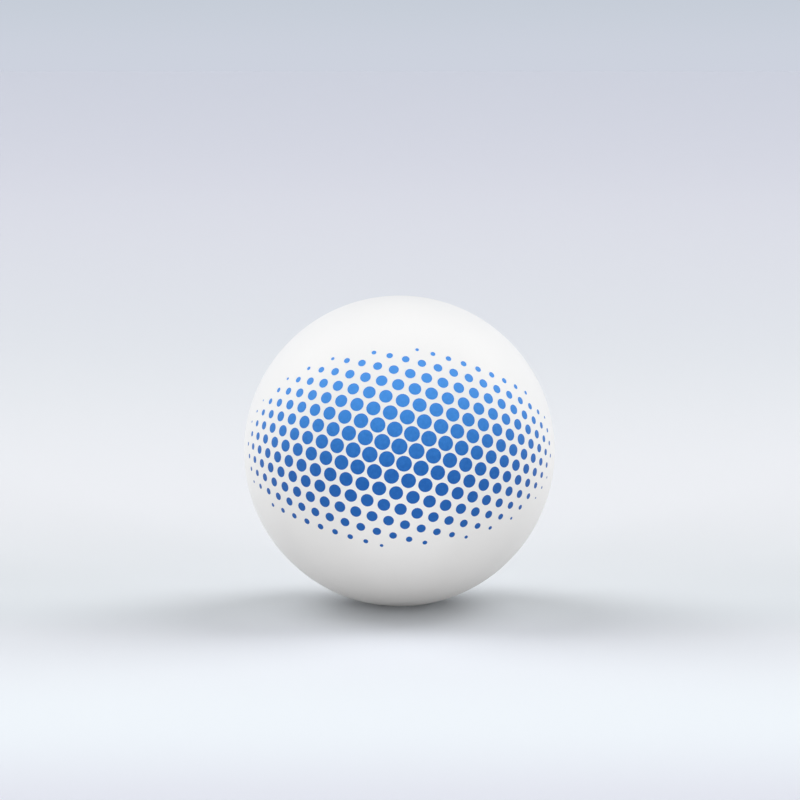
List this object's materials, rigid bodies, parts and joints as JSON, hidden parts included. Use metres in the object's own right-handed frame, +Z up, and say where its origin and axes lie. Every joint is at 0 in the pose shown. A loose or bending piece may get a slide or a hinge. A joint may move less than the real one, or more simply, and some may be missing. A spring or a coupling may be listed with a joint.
{
  "type": "field hockey ball",
  "caption": "Smooth round field hockey ball: a moulded plastic cover closed over a quilted core of cork strips and wound twine, to be rolled and struck on turf.",
  "frame": {"origin": "centre of the ball", "axes": "+Y along the cover's moulding axis, from the printed front face at -Y to the plain rear face; the cover's seam lies in the XZ plane; +Z up, as the picture shows the ball"},
  "size_m": [0.073, 0.073, 0.073],
  "materials": {
    "cover_plastic": "satin",
    "print_ink": "satin",
    "cork_strip": "matte",
    "cork_composition": "matte",
    "winding_twine": "matte"
  },
  "bodies": {
    "root": {"front_cover_half": "cover_plastic", "rear_cover_half": "cover_plastic", "outer_winding": "winding_twine", "outer_cork_strip_1": "cork_strip", "outer_cork_strip_2": "cork_strip", "outer_cork_strip_3": "cork_strip", "outer_cork_strip_4": "cork_strip", "outer_cork_strip_5": "cork_strip", "outer_cork_strip_6": "cork_strip", "inner_winding": "winding_twine", "inner_cork_strip_1": "cork_strip", "inner_cork_strip_2": "cork_strip", "inner_cork_strip_3": "cork_strip", "inner_cork_strip_4": "cork_strip", "cork_centre": "cork_composition"}
  },
  "joints": []
}
